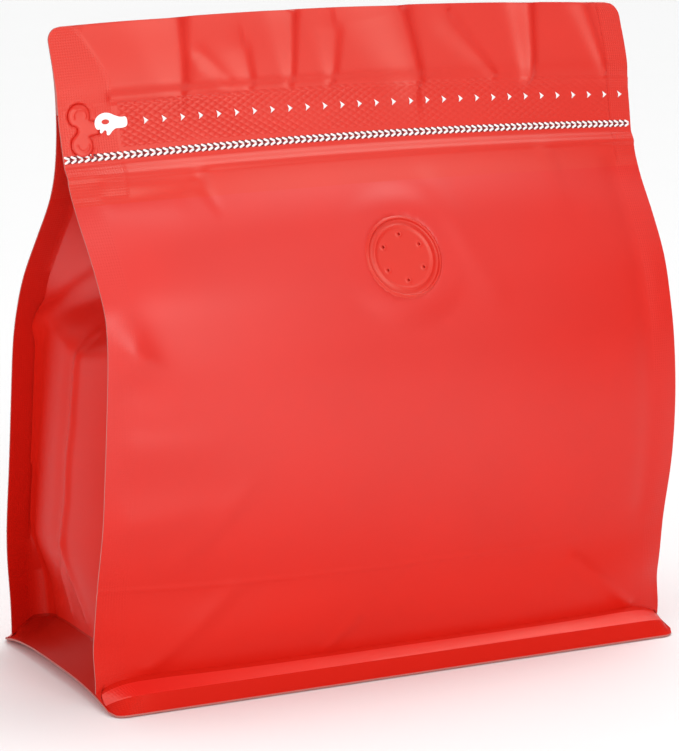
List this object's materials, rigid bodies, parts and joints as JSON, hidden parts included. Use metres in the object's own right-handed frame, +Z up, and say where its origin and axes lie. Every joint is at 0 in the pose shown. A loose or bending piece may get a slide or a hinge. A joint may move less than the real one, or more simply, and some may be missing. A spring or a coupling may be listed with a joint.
{
  "type": "flat-bottom coffee pouch",
  "caption": "Filled, shut flat-bottom film pouch with upright corner seals, a pressed flat top with a pocket zipper and pull tab, and a one-way valve in its front.",
  "frame": {"origin": "on the floor plane, under the middle of the flat base", "axes": "+Z up, -Y out of the front panel, +X to the right seen from the front"},
  "size_m": [0.2, 0.1052, 0.2064],
  "materials": {
    "film": "satin red film, soft sheen",
    "valve_film": "satin red film drawn over a disc",
    "tab_film": "satin red film with a fine pressed grid"
  },
  "bodies": {
    "root": {"bag": "film", "valve": "valve_film", "pull_tab": "tab_film"}
  },
  "joints": []
}
